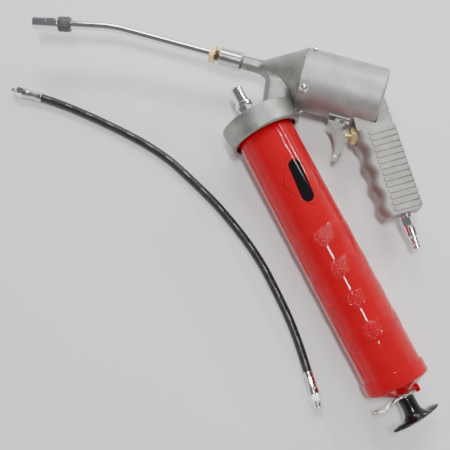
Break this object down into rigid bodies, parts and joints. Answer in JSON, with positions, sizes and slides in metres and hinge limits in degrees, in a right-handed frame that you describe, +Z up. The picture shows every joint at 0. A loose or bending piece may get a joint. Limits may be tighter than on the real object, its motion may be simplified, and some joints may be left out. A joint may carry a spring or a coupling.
{
  "type": "air-operated grease gun",
  "caption": "Pistol-grip air-operated grease gun with a ribbed grip, cartridge barrel with pull handle, bent spout with coupler, and a loose whip hose with threaded ends.",
  "frame": {"origin": "centre of the gun's bounding box at ground level, with the gun lying on its side", "axes": "+Z up; +X from the outlet towards the rear of the air motor; the grip and the barrel's handle end towards -Y"},
  "size_m": [0.5137, 0.3397, 0.0755],
  "materials": {
    "cast": "satin",
    "bright_steel": "polished",
    "steel": "satin",
    "sleeve": "satin",
    "chrome": "polished",
    "brass": "satin",
    "knurl": "satin",
    "red": "gloss",
    "rubber": "satin",
    "packing": "matte",
    "handle": "gloss",
    "plate": "satin",
    "black_screw": "satin"
  },
  "bodies": {
    "gun": {"head_casting": "cast", "loader_washer": "bright_steel", "loader_body": "bright_steel", "loader_spring": "steel", "outlet_collar": "steel", "check_spring": "steel", "plunger_packing": "packing", "cylinder_sleeve": "sleeve", "cylinder_screws": "bright_steel", "piston_spring": "steel", "grip_casting": "cast", "grip_screws": "black_screw", "trigger_bracket": "plate", "trigger_screw": "bright_steel", "valve_body": "brass", "valve_seal": "rubber", "valve_spring": "steel", "air_plug": "bright_steel", "head_gasket": "rubber"},
    "barrel": {"barrel_tube": "red", "barrel_end_cap": "red", "rod_bushing": "packing", "lever_pin": "steel", "follower_spring": "steel"},
    "rod": {"follower_piston": "steel", "follower_seal": "rubber", "plunger_rod": "steel", "rod_stop_ring": "steel", "t_handle": "handle"},
    "lock_lever": {"lock_lever": "plate"},
    "trigger": {"trigger": "plate", "trigger_pin": "bright_steel"},
    "valve_stem": {"valve_stem": "brass"},
    "air_piston": {"air_piston": "sleeve", "piston_seal": "rubber", "pump_plunger": "steel"},
    "check_ball": {"check_ball": "steel"},
    "loader_poppet": {"loader_poppet": "brass"},
    "spout": {"lock_nut": "brass", "spout_tube": "chrome", "coupler_body": "knurl", "coupler_sleeve": "chrome", "coupler_jaws": "steel", "coupler_seal": "rubber", "coupler_spring": "steel"},
    "hose": {"hose_tube": "rubber", "hose_ferrules": "plate", "hose_fittings": "plate"}
  },
  "joints": [
    {"name": "barrel_unscrews", "type": "slide", "parent": "gun", "child": "barrel", "axis": [0.688, -0.7253, -0.0254], "range_m": [0, 0.06]},
    {"name": "rod_pulls_out", "type": "slide", "parent": "barrel", "child": "rod", "axis": [0.688, -0.7253, -0.0254], "range_m": [0, 0.19], "stiffness_N_per_m": 80, "springref_m": -0.06, "deforming": ["follower_spring"]},
    {"name": "lock_lever_tilts", "type": "hinge", "parent": "barrel", "child": "lock_lever", "pos_m": [0.22133, -0.12496, 0.02972], "axis": [-0.0556, -0.0178, -0.9983], "range_deg": [0, 3], "stiffness_Nm_per_rad": 0.4, "springref_deg": -11.46},
    {"name": "trigger_pulls", "type": "hinge", "parent": "gun", "child": "trigger", "pos_m": [0.08762, 0.10026, 0.03316], "axis": [0.0556, 0.0178, 0.9983], "range_deg": [0, 14], "stiffness_Nm_per_rad": 0.5, "springref_deg": -17.19},
    {"name": "valve_stem_slides", "type": "slide", "parent": "gun", "child": "valve_stem", "axis": [0.9545, 0.2923, -0.0584], "range_m": [0, 0.0018], "deforming": ["valve_spring"]},
    {"name": "air_piston_strokes", "type": "slide", "parent": "gun", "child": "air_piston", "axis": [-0.9985, 0, 0.0556], "range_m": [0, 0.024], "stiffness_N_per_m": 400, "springref_m": -0.02, "deforming": ["piston_spring"]},
    {"name": "check_ball_lifts", "type": "slide", "parent": "gun", "child": "check_ball", "axis": [-0.9985, 0, 0.0556], "range_m": [0, 0.0015], "stiffness_N_per_m": 60, "springref_m": -0.003, "deforming": ["check_spring"]},
    {"name": "loader_poppet_opens", "type": "slide", "parent": "gun", "child": "loader_poppet", "axis": [0.688, -0.7253, -0.0254], "range_m": [0, 0.003], "stiffness_N_per_m": 200, "springref_m": -0.005, "deforming": ["loader_spring"]},
    {"name": "spout_turns", "type": "hinge", "parent": "gun", "child": "spout", "pos_m": [-0.0527, 0.13725, 0.04032], "axis": [-0.9985, 0, 0.0556], "range_deg": [-180, 180]},
    {"name": "hose_lifts_away", "type": "slide", "parent": "gun", "child": "hose", "axis": [0, 0, 1], "range_m": [0, 0.12]}
  ],
  "couplings": [
    {"joint": "valve_stem_slides", "follows": "trigger_pulls", "m_per_rad": 0.00716}
  ]
}
